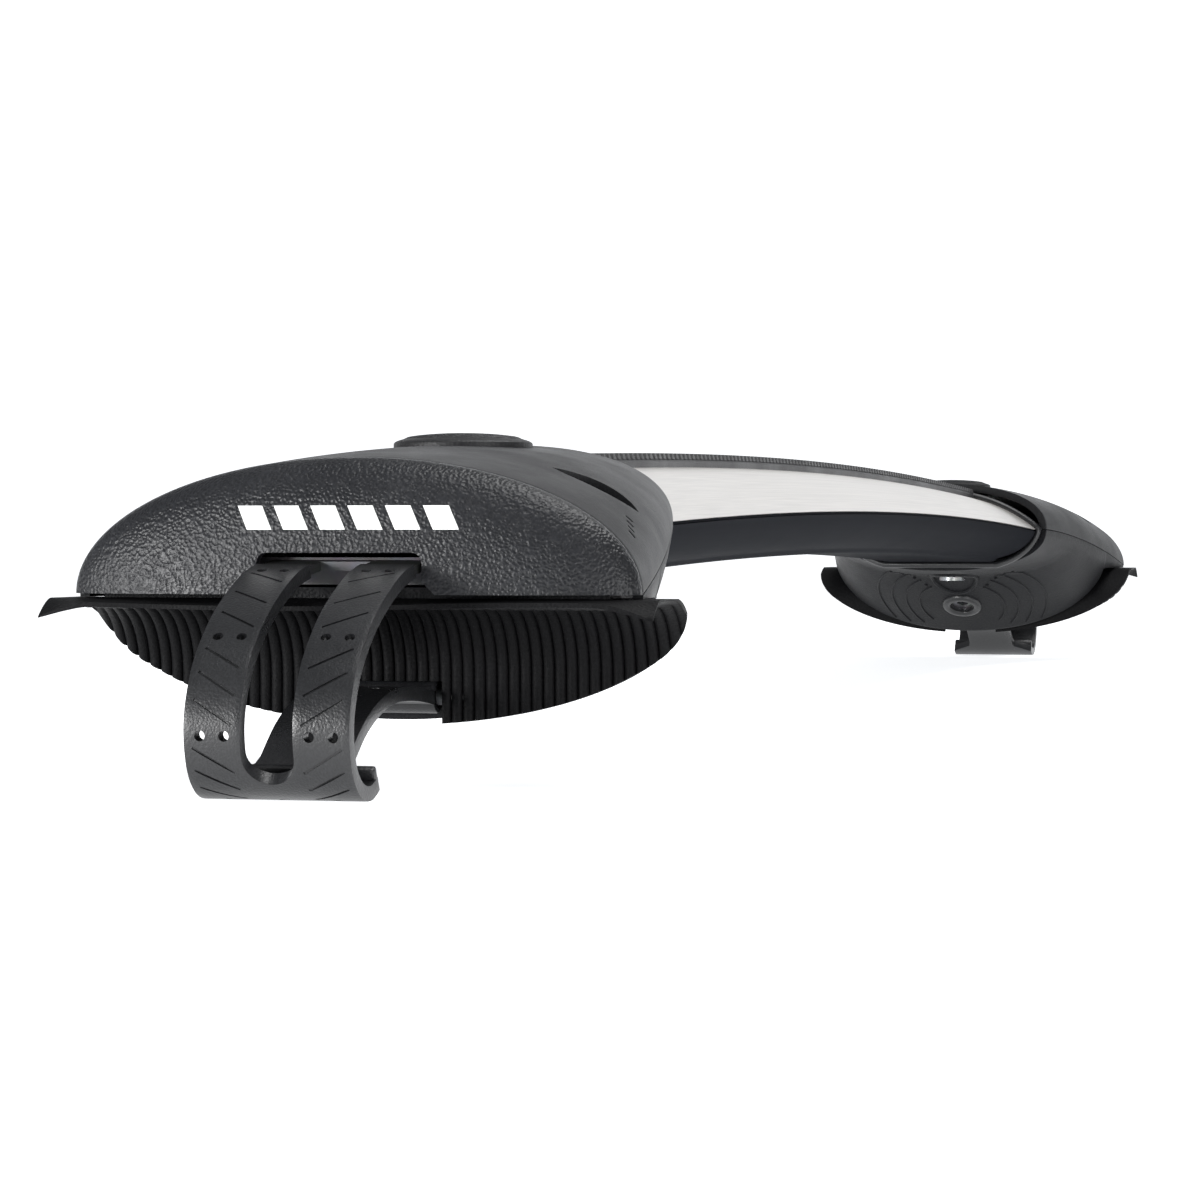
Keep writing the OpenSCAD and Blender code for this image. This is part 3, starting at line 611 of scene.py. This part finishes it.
def make_casting(word, side):
    bm = patch(120, 70, lambda a, k: foot_point(side, CASTING_S * k, math.pi * mix(1.0015, 1.9985, a)))
    thicken(bm, 2.8 * MM, Vector((side * (RIDGE_X - FOOT / 2), 0, EDGE_Z + 4 * MM)))
    holes = bmesh.new()
    peg(holes, 7.2 * MM, 20 * MM, screw_place(side), 48)
    bm = carve(bm, holes)
    soften(bm, 0.4 * MM)
    for k in (-1, 1):
        # cheek that closes the side between the shell's seam and the rail pad
        def cheek(a, t):
            s = mix(CASTING_S, 0.992, a)
            z = mix(seam_z(s) - 0.15 * MM, -0.9 * MM, t)
            low = (seam_z(s) - z) / (seam_z(s) - low_z(s))
            return Vector((side * (RIDGE_X - FOOT * (1 - s)), k * half_width(s) * math.sqrt(1 - low * low),
                           EDGE_Z + z))

        part = patch(24, 4, cheek)
        thicken(part, 2.4 * MM, Vector((side * (RIDGE_X - SKIRT_U), 0, EDGE_Z)))
        add_copy(bm, part)
        # raised curved lines each side of the screw, each with a dot at its upper end
        for i in range(4):
            reach = (19 + 6.2 * i) * MM
            path = []
            for step in range(19):
                turn = math.radians(mix(-38, 52, step / 18))
                u = SCREW_U - 1 * MM + reach * math.sin(turn)
                y = k * reach * math.cos(turn)
                if SKIRT_U + 1 * MM < u and abs(y) < 0.93 * half_width(1 - u / FOOT):
                    path.append(skin_at(side, u, y))
            if len(path) > 3:
                add_rib(bm, path, 0.42 * MM)
            dot = skin_at(side, SCREW_U + reach * 0.80, k * reach * 0.72)
            bmesh.ops.create_icosphere(bm, subdivisions=2, radius=0.8 * MM, matrix=Matrix.Translation(dot))

    # inner wall behind the pad, with the notch for the strap's tongue, and the roof over the rail
    def wall_place(a, k):
        y = mix(-0.985, 0.985, a) * half_width(CASTING_S)
        low = skin_at(side, SKIRT_U, y).z + 0.4 * MM
        return Vector((side * (RIDGE_X - SKIRT_U + 0.1 * MM), y, mix(low, EDGE_Z - 1.2 * MM, k)))

    wall = patch(60, 12, wall_place)
    thicken(wall, 2.8 * MM, Vector((side * RIDGE_X * 2, 0, EDGE_Z)))
    notch = bmesh.new()
    block(notch, (12 * MM, NOTCH, NOTCH_TALL),
          Matrix.Translation((side * (RIDGE_X - 32 * MM), 0, EDGE_Z - 29.6 * MM)))
    add_copy(bm, carve(wall, notch))
    roof = bmesh.new()
    block(roof, (34 * MM, 1.9 * half_width(CASTING_S), 2.4 * MM),
          Matrix.Translation((side * (RIDGE_X - 15 * MM), 0, EDGE_Z + 0.3 * MM)))
    add_copy(bm, roof)
    # oval rim round the two bolts that hold the bar
    rim = [skin_at(side, (78 + 13.5 * math.cos(a)) * MM, 10 * MM * math.sin(a))
           for a in [math.tau * i / 40 for i in range(41)]]
    add_rib(bm, rim, 1.1 * MM)
    piece(f"{word}_foot_casting", bm, BLACK_PLASTIC, [f"{word}_foot_base"])


for word, side in SIDES.items():
    make_casting(word, side)

# Rail pad: black rubber sheet moulded with ribs, shaped to the inner corner of a rail.
# It is pushed on to studs under the casting, and its outer edge flares out below the cover.
PAD_HALF, PAD_R, PAD_WALL = 71 * MM, 17.5 * MM, 12 * MM
PAD_X, PAD_DEEP, PAD_ROOF = -30.5 * MM, 30.5 * MM, -1 * MM
LIP_X, LIP_END = 4 * MM, 12.6 * MM
LIP_DROP, NOSE_DROP, NOSE_FROM = 1.1 * MM, 4.6 * MM, 0.80
RIBS, RIB_CELLS = 52, 6
PAD_RUBBER = moulded("pad_rubber", (0.002, 0.002, 0.0023), (0.008, 0.008, 0.009), 1500, 0.5, 0.7, 0.00009,
                     Specular_IOR_Level=0.1)


def pad_line(length):
    """The pad's upper face, from the wall's low edge to the lip: place and the way to the rail."""
    bend_end = PAD_WALL + PAD_R * math.pi / 2
    if length < PAD_WALL:
        return PAD_X, -PAD_DEEP + length, 1, 0
    if length < bend_end:
        turn = (length - PAD_WALL) / PAD_R
        return (PAD_X + PAD_R * (1 - math.cos(turn)), -PAD_DEEP + PAD_WALL + PAD_R * math.sin(turn),
                math.cos(turn), -math.sin(turn))
    return PAD_X + PAD_R + length - bend_end, PAD_ROOF, 0, -1


def pad_place(side, face, across, along):
    y = PAD_HALF * (2 * across - 1)
    part = min(1, abs(y) / PAD_HALF)
    deep = PAD_ROOF - (PAD_DEEP + PAD_ROOF) * math.sqrt(1 - part ** 2)
    lowest = PAD_DEEP + deep
    if lowest > PAD_WALL:
        lowest = PAD_WALL + PAD_R * math.asin(min(1, (lowest - PAD_WALL) / PAD_R))
    reach = LIP_END - 1.2 * MM * part ** 10
    length = mix(lowest, PAD_WALL + PAD_R * math.pi / 2 + reach - PAD_X - PAD_R, along)
    x, z, to_x, to_z = pad_line(length)
    lip = min(1, max(0, (x - LIP_X) / (LIP_END - LIP_X)))
    nose = NOSE_DROP * (max(0, part - NOSE_FROM) / (1 - NOSE_FROM)) ** 2
    wave = LIP_DROP + 0.5 * MM * math.sin(3.4 * y / PAD_HALF + 0.8) + nose
    z -= wave * lip ** 1.6
    taper = 1 - 0.72 * (max(0, part - 0.88) / 0.12) ** 1.5
    if face == "rail":
        rise = (across * RIBS) % 1
        rib = 1.35 * MM + 1.15 * MM * math.sqrt(max(0, 1 - (2 * rise - 1) ** 2))
        wall = mix(rib, 1.9 * MM - 0.9 * MM * lip, min(1, max(0, (x + 1 * MM) / (5 * MM)))) * taper
        x, z = x + to_x * wall, z + to_z * wall
    return Vector((side * (RIDGE_X + x), y, EDGE_Z + z))


def make_pad(word, side):
    bm = patch(RIBS * RIB_CELLS, 40, lambda a, k: pad_place(side, "foot", a, k))
    add_copy(bm, patch(RIBS * RIB_CELLS, 40, lambda a, k: pad_place(side, "rail", a, k)))
    rims = [e for e in bm.edges if len(e.link_faces) == 1]
    bmesh.ops.bridge_loops(bm, edges=rims)
    bmesh.ops.remove_doubles(bm, verts=bm.verts, dist=2e-6)
    bmesh.ops.recalc_face_normals(bm, faces=bm.faces)
    notch = bmesh.new()
    block(notch, (10 * MM, NOTCH, NOTCH_TALL),
          Matrix.Translation((side * (RIDGE_X + PAD_X), 0, EDGE_Z - 30.4 * MM)))
    bm = carve(bm, notch)
    piece(f"{word}_ribbed_pad", bm, PAD_RUBBER, [f"{word}_rail_pad"], sharp=50)


for word, side in SIDES.items():
    make_pad(word, side)

# Strap: one loop of black moulded rubber round the rail, with two arms in front and a tongue behind.
# Holes and slanted grooves let it flex, and its eye turns on a steel pin in the casting.
STRAP_HALF, ARM_IN, TONGUE, STRAP_WALL = 18.2 * MM, 5.8 * MM, 10 * MM, 3.2 * MM
STRAP_ROUTE = [(13.6, 6.8), (23, 4.6), (35, -0.4), (45, -6.4), (54, -15), (58.6, -26), (56.4, -36.5),
               (49, -42.2), (39, -41.2), (22, -30), (5, -24.6), (-12, -24.2), (-30, -26)]
SLOT_Z = -33.2 * MM
HOLE_R, HOLE_DEEP, GROOVE_SLANT = 1.15 * MM, 9 * MM, math.radians(32)
PIN_X, PIN_Z, EYE_R, PIN_R = -31 * MM, -24 * MM, 3.9 * MM, 2.05 * MM
STRAP_RUBBER = moulded("strap_rubber", (0.006, 0.0063, 0.007), (0.024, 0.0245, 0.027), 1900, 0.24, 0.42,
                       0.00005, Specular_IOR_Level=0.5)


def strap_at(t):
    """A place on the strap's outer face, t stretches along its route, with its outward direction."""
    last = len(STRAP_ROUTE) - 1
    i = min(int(t), last - 1)
    p0, p1, p2, p3 = (Vector(STRAP_ROUTE[min(max(j, 0), last)]) for j in range(i - 1, i + 3))
    f = t - i
    square, cube = 2 * p0 - 5 * p1 + 4 * p2 - p3, 3 * p1 - p0 - 3 * p2 + p3
    at = 0.5 * (2 * p1 + (p2 - p0) * f + square * f ** 2 + cube * f ** 3)
    way = (p2 - p0 + 2 * square * f + 3 * cube * f ** 2).normalized()
    return at * MM, Vector((-way.y, way.x))


def strap_frame(side, t, y, slant=0.0):
    """A frame on the strap's outer face, z outwards, x across, turned by the slant."""
    at, out = strap_at(t)
    along = Vector((side * out.y, 0, -out.x))
    outwards = Vector((side * out.x, 0, out.y))
    across = math.cos(slant) * Vector((0, 1, 0)) + math.sin(slant) * along
    frame_at = Matrix.Identity(4)
    for i, axis in enumerate((across, outwards.cross(across), outwards)):
        for j in range(3):
            frame_at[j][i] = axis[j]
    place = Vector((side * (RIDGE_X + at.x), y, EDGE_Z + at.y))
    return Matrix.Translation(place) @ frame_at


def strap_rows():
    """Stations along the strap, close together round the slot's end, and where the slot closes."""
    low, high = 5.5, 7.0
    for _ in range(40):
        middle = (low + high) / 2
        if strap_at(middle)[0].y > SLOT_Z - ARM_IN:
            low = middle
        else:
            high = middle
    rows = [0.125 * i for i in range(44)]
    rows += [mix(5.5, low, math.sin(math.pi / 2 * i / 14)) for i in range(15)]
    rows += [mix(low, 12.0, (i + 1) / 46) for i in range(46)]
    return rows, low


def make_strap(word, side):
    rows, slot_end = strap_rows()

    def on_strap(hand, a, k):
        t = rows[round(k * (len(rows) - 1))]
        at, _ = strap_at(t)
        inner = ARM_IN
        if t > 5 and at.y < SLOT_Z:
            inner = ARM_IN * math.sqrt(max(0, 1 - ((SLOT_Z - at.y) / ARM_IN) ** 2))
        if t >= slot_end - 1e-9:
            inner = 0
        narrow = min(1, max(0, (t - 8.05) / 0.3))
        outer = mix(STRAP_HALF, TONGUE, narrow * narrow * (3 - 2 * narrow))
        return Vector((side * (RIDGE_X + at.x), hand * mix(inner, outer, a), EDGE_Z + at.y))

    bm = patch(8, len(rows) - 1, lambda a, k: on_strap(1, a, k))
    add_copy(bm, patch(8, len(rows) - 1, lambda a, k: on_strap(-1, a, k)))
    bmesh.ops.remove_doubles(bm, verts=bm.verts, dist=2e-5)
    thicken(bm, STRAP_WALL, Vector((side * (RIDGE_X + 30 * MM), 0, EDGE_Z - 20 * MM)))
    soften(bm, 0.6 * MM, rounds=3)
    cuts = bmesh.new()
    for t in (0.75, 3.25, 5.25):
        for y in (-14.65, -9.35, 9.35, 14.65):
            peg(cuts, HOLE_R, HOLE_DEEP, strap_frame(side, t, y * MM), 24)
    for y in (-12, 0, 12):
        peg(cuts, HOLE_R, HOLE_DEEP, strap_frame(side, 7.25, y * MM), 24)
    for i in range(4):
        for y in ((-5, 5) if i % 2 == 0 else (0,)):
            peg(cuts, HOLE_R, HOLE_DEEP, strap_frame(side, 9.25 + 0.5 * i, y * MM), 24)
    for first, last in ((1.15, 2.75), (3.75, 4.8), (5.72, 6.75)):
        for i in range(3):
            for hand in (-1, 1):
                block(cuts, (10.4 * MM, 0.6 * MM, 0.9 * MM),
                      strap_frame(side, mix(first, last, i / 2), hand * 12 * MM, hand * side * GROOVE_SLANT))
    bmesh.ops.recalc_face_normals(cuts, faces=cuts.faces)
    bm = carve(bm, cuts)
    eye = bmesh.new()
    pin_place = Matrix.Translation((side * (RIDGE_X + PIN_X), 0, EDGE_Z + PIN_Z))
    lying = pin_place @ Matrix.Rotation(math.pi / 2, 4, "X")
    peg(eye, EYE_R, 2 * TONGUE, lying, 48)
    bore = bmesh.new()
    peg(bore, PIN_R, 3 * TONGUE, lying, 48)
    eye = carve(eye, bore)
    soften(eye, 0.5 * MM)
    add_copy(bm, eye)
    # turned-up lip where the wide part ends
    lip = bmesh.new()
    block(lip, (2 * STRAP_HALF, 2.2 * MM, 3.4 * MM),
          strap_frame(side, 8.0, 0) @ Matrix.Translation((0, 0, -4.2 * MM)))
    bmesh.ops.recalc_face_normals(lip, faces=lip.faces)
    soften(lip, 0.7 * MM)
    add_copy(bm, lip)
    piece(f"{word}_rubber_strap", bm, STRAP_RUBBER, [f"{word}_strap"],
          f"{word}_strap_loop", sharp=42)


for word, side in SIDES.items():
    make_strap(word, side)

# Collar gasket: a soft black rubber bead where each foot grips the bar, pressed in as the shell is closed.
# It follows the whole outline of the bar.
GASKET_R, GASKET_OFF = 1.5 * MM, 1.1 * MM


def make_gasket(word, side):
    stations = [41 * MM * math.sin(math.pi / 2 * i / 18) for i in range(-17, 18)]
    crown = [(y, crown_z(y) + GASKET_OFF) for y in stations]
    flank = bend((42.4 * MM, 0), (39.6 * MM, -10.6 * MM), (24.5 * MM, -15.1 * MM), 14)
    ring = crown + flank + [(-y, z) for y, z in reversed(flank)]
    bm = bmesh.new()
    add_rib(bm, [on_arch(side * (COLLAR_X - 0.2 * MM), y, z) for y, z in ring], GASKET_R, (1, 0, 0), True, 10)
    piece(f"{word}_gasket_bead", bm, STRAP_RUBBER, [f"{word}_collar_gasket"])


for word, side in SIDES.items():
    make_gasket(word, side)

# Dome cap: a round rubber button on each collar, moulded with slanted ribs.
# It plugs the hole through which the foot is locked to the bar.
DOME_R, DOME_RISE, DOME_RIB = 17 * MM, 2.4 * MM, 3.4 * MM
DOME_X = (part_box("right_dome_cap")[0][0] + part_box("right_dome_cap")[1][0]) / 2
DOME_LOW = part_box("right_dome_cap")[0][2]
DOME_FLAT = 0.86 * DOME_R
CAP_RUBBER = moulded("cap_rubber", (0.010, 0.010, 0.011), (0.032, 0.032, 0.034), 1500, 0.42, 0.62, 0.00009,
                     Specular_IOR_Level=0.3)


def make_dome(word, side):
    bm = bmesh.new()
    turns = [math.pi / 2 * i / 30 for i in range(31)]
    verts = [bm.verts.new((DOME_R * math.sin(a), 0, 1.7 * MM + DOME_RISE * math.cos(a))) for a in turns]
    verts.append(bm.verts.new((DOME_R, 0, 0)))
    edges = [bm.edges.new(pair) for pair in zip(verts, verts[1:])]
    bmesh.ops.spin(bm, geom=verts + edges, cent=(0, 0, 0), axis=(0, 0, 1), dvec=(0, 0, 0), angle=math.tau,
                   steps=120, use_merge=True)
    bmesh.ops.remove_doubles(bm, verts=bm.verts, dist=1e-6)
    close_ends(bm)
    for vert in bm.verts:
        reach = math.hypot(vert.co.x, vert.co.y)
        if vert.co.z > 2.0 * MM and reach < DOME_FLAT:
            lean = (vert.co.x + vert.co.y * 0.75) / DOME_RIB
            fade = min(1, (DOME_FLAT - reach) / (1.2 * MM))
            vert.co.z += 0.32 * MM * fade * max(-1, min(1, 2.4 * math.sin(math.tau * lean)))
    bmesh.ops.translate(bm, verts=bm.verts, vec=(side * DOME_X, 0, DOME_LOW - 0.2 * MM))
    piece(f"{word}_ribbed_cap", bm, CAP_RUBBER, [f"{word}_dome_cap"], sharp=50)


for word, side in SIDES.items():
    make_dome(word, side)

# Screw bush: a hard black ring let into the casting's slope, with a rounded rim that stands proud.
# It is moulded in one piece and takes the head of the clamp screw.
BUSH_HOLE, BUSH_R = 5.05 * MM, 8.9 * MM


def make_bush(word, side):
    bm = bmesh.new()
    rim = bend((BUSH_HOLE, 0.2 * MM), (BUSH_HOLE, 1.5 * MM), (6.8 * MM, 1.5 * MM), 6)
    rim += bend((7.0 * MM, 1.5 * MM), (8.7 * MM, 1.5 * MM), (BUSH_R, -0.6 * MM), 6)
    outline = [(BUSH_HOLE, -8 * MM)] + rim + [(7.0 * MM, -0.9 * MM), (7.0 * MM, -8 * MM)]
    verts = [bm.verts.new((r, 0, z)) for r, z in outline]
    edges = [bm.edges.new(pair) for pair in zip(verts, verts[1:] + verts[:1])]
    bmesh.ops.spin(bm, geom=verts + edges, cent=(0, 0, 0), axis=(0, 0, 1), dvec=(0, 0, 0), angle=math.tau,
                   steps=64, use_merge=True)
    bmesh.ops.remove_doubles(bm, verts=bm.verts, dist=1e-6)
    bmesh.ops.recalc_face_normals(bm, faces=bm.faces)
    bmesh.ops.transform(bm, matrix=screw_place(side), verts=bm.verts)
    piece(f"{word}_screw_ring", bm, STRAP_RUBBER, [f"{word}_screw_bush"])


for word, side in SIDES.items():
    make_bush(word, side)

# Small metal and plastic pieces inside each foot keep the shapes they were turned, pressed or cast to.
# Each gets the finish of its own stock: dark or zinc-plated steel, cast metal, chrome or black plastic.
def make_plated(name, base, low, high, grain, metallic=1.0):
    """Plated or cast metal: cloudy colour and roughness with a fine grain in the surface."""
    mat, tree, shader = start_material(name, Metallic=metallic)
    place = node(tree, "ShaderNodeTexCoord")
    cloud = node(tree, "ShaderNodeTexNoise", Scale=160.0, Detail=5.0, Roughness=0.6)
    fine = node(tree, "ShaderNodeTexNoise", Scale=grain, Detail=3.0)
    ramp = node(tree, "ShaderNodeMapRange")
    ramp.inputs["To Min"].default_value = low
    ramp.inputs["To Max"].default_value = high
    tint = node(tree, "ShaderNodeMix", data_type="RGBA", blend_type="MULTIPLY")
    tint.inputs["Factor"].default_value = 0.4
    tint.inputs["A"].default_value = (*base, 1)
    wire(tree, (place.outputs["Object"], cloud.inputs["Vector"]),
         (place.outputs["Object"], fine.inputs["Vector"]),
         (cloud.outputs["Fac"], ramp.inputs["Value"]), (cloud.outputs["Color"], tint.inputs["B"]),
         (tint.outputs["Result"], shader.inputs["Base Color"]),
         (ramp.outputs["Result"], shader.inputs["Roughness"]))
    relief(tree, shader, fine.outputs["Fac"], 0.00004, 0.4)
    return mat


PLATED_STEEL = make_plated("plated_steel", (0.42, 0.42, 0.43), 0.25, 0.5, 1800)
CAST_METAL = make_plated("cast_metal", (0.20, 0.20, 0.21), 0.45, 0.7, 900)
DARK_STEEL = make_plated("dark_steel", (0.085, 0.085, 0.088), 0.38, 0.6, 1400, 0.8)
CHROME = make_plated("bright_chrome", (0.70, 0.70, 0.71), 0.06, 0.2, 2600)
FINISHES = {
    DARK_STEEL: ("strap_hooks", "hook_bar", "strap_pin", "bar_saddle"),
    PLATED_STEEL: ("clamp_screw", "saddle_bolts", "shell_screws", "lock_cam"),
    CAST_METAL: ("tension_block",),
    CHROME: ("lock_barrel",),
    BLACK_PLASTIC: ("lock_housing", "blank_plug", "bar_end_plug"),
}
for finish, names in FINISHES.items():
    for word in SIDES:
        for name in names:
            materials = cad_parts[f"{word}_{name}"].data.materials
            materials.clear()
            materials.append(finish)

# The floor and the light: a pale sweep of studio paper, soft area lamps and a dim world.
# The camera stands low, beyond the near foot, and looks along the bar.
def lamp(name, place, aim, size, watts):
    data = bpy.data.lights.new(name, "AREA")
    data.shape = "RECTANGLE"
    data.size, data.size_y = size
    data.energy = watts
    ob = bpy.data.objects.new(name, data)
    ob.location = place
    ob.rotation_euler = (Vector(aim) - Vector(place)).to_track_quat("-Z", "Y").to_euler()
    bpy.context.scene.collection.objects.link(ob)


FLOOR_Y, FLOOR_WIDE = -14, 32


def make_floor():
    mat, _, shader = start_material("pale_floor", Roughness=0.9, Specular_IOR_Level=0.1)
    shader.inputs["Base Color"].default_value = (0.95, 0.95, 0.955, 1)
    shader.inputs["Emission Color"].default_value = (0.97, 0.985, 1.0, 1)
    shader.inputs["Emission Strength"].default_value = 0.8
    bm = bmesh.new()
    wall = bend((9.0, FLOOR_Y, 0), (14.0, FLOOR_Y, 0), (14.0, FLOOR_Y, 6.0), 16)
    verts = [bm.verts.new((x, y, z)) for x, y, z in [(-6.0, FLOOR_Y, 0)] + wall]
    edges = [bm.edges.new(pair) for pair in zip(verts, verts[1:])]
    made = bmesh.ops.extrude_edge_only(bm, edges=edges)
    moved = [v for v in made["geom"] if isinstance(v, bmesh.types.BMVert)]
    bmesh.ops.translate(bm, verts=moved, vec=(0, FLOOR_WIDE, 0))
    for face in bm.faces:
        face.smooth = True
    floor = as_object(bm, "floor")
    floor.data.materials.append(mat)


make_floor()
world = bpy.data.worlds.new("studio")
world.use_nodes = True
world.node_tree.nodes["Background"].inputs["Color"].default_value = (0.95, 0.97, 1.0, 1)
world.node_tree.nodes["Background"].inputs["Strength"].default_value = 0.28
bpy.context.scene.world = world
bpy.context.scene.view_settings.view_transform = "Standard"
lamp("over", (-0.15, -0.35, 1.4), (-0.1, 0.0, 0.05), (2.0, 0.6), 21)
lamp("near_left", (-1.35, 0.75, 0.16), (-0.46, 0.0, 0.05), (0.5, 0.3), 15)
lamp("right", (-1.15, -1.0, 0.2), (-0.4, 0.0, 0.05), (0.6, 0.3), 5)

EYE = (-1240.96 * MM, -259.78 * MM, 12.41 * MM + EDGE_Z)
YAW, PITCH = 0.2542, -0.0167
camera_data = bpy.data.cameras.new("camera")
camera_data.sensor_width = 36
camera_data.lens = 111
camera_data.clip_start = 0.05
camera = bpy.data.objects.new("camera", camera_data)
camera.location = EYE
camera.rotation_euler = Vector((math.cos(YAW) * math.cos(PITCH), math.sin(YAW) * math.cos(PITCH),
                                math.sin(PITCH))).to_track_quat("-Z", "Y").to_euler()
bpy.context.scene.collection.objects.link(camera)
bpy.context.scene.camera = camera
